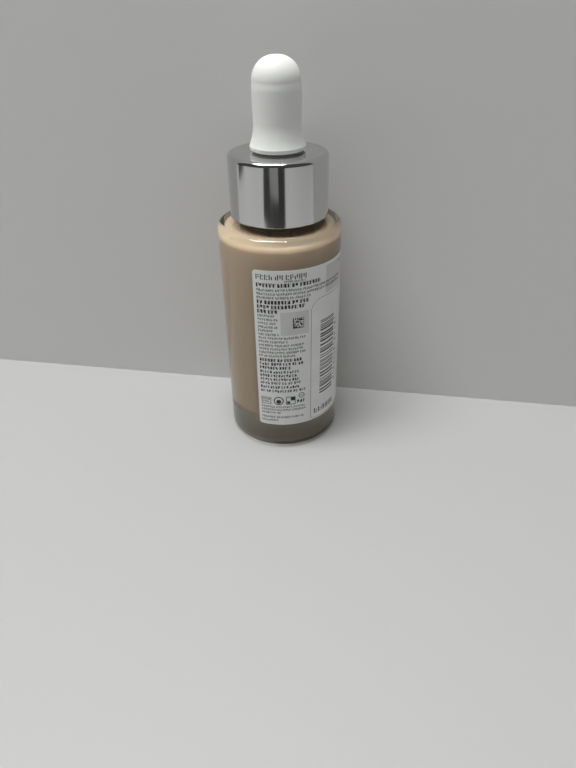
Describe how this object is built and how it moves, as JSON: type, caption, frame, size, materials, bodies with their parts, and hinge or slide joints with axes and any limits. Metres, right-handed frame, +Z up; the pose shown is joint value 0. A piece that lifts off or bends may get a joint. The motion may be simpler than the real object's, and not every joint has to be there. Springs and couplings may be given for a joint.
{
  "type": "foundation bottle",
  "caption": "Round thick-based glass bottle filled with liquid foundation, with a wrap-round label and a screw-on dropper: rubber bulb, glass pipette, threaded cap and metal collar.",
  "frame": {"origin": "middle of the bottle's foot, on the surface it stands on", "axes": "+Z up along the bottle's axis; the labels face -Y and wrap round towards +X"},
  "size_m": [0.0342, 0.0341, 0.1065],
  "materials": {
    "clear_glass": "clear, polished, thick",
    "foundation": "opaque beige liquid against glass",
    "label_film": "satin silver-grey film with fine dark print",
    "label_ink": "thin dark print on the label film",
    "bulb_rubber": "matt white, slightly soft",
    "bright_metal": "bright polished, drawn",
    "cap_plastic": "moulded white",
    "wiper_plastic": "soft translucent white"
  },
  "bodies": {
    "bottle": {"glass_bottle": "clear_glass", "foundation_fluid": "foundation", "neck_wiper": "wiper_plastic", "back_label": "label_film", "barcode_label": "label_film"},
    "dropper": {"rubber_bulb": "bulb_rubber", "glass_pipette": "clear_glass", "pipette_fluid": "foundation"},
    "cap": {"inner_cap": "cap_plastic", "collar_shell": "bright_metal"}
  },
  "joints": [
    {"name": "dropper_lift", "type": "slide", "parent": "bottle", "child": "dropper", "axis": [0, 0, 1], "range_m": [0, 0.085]},
    {"name": "cap_turn", "type": "hinge", "parent": "dropper", "child": "cap", "pos_m": [0, 0, 0.077], "axis": [0, 0, 1], "range_deg": [0, 540]}
  ]
}
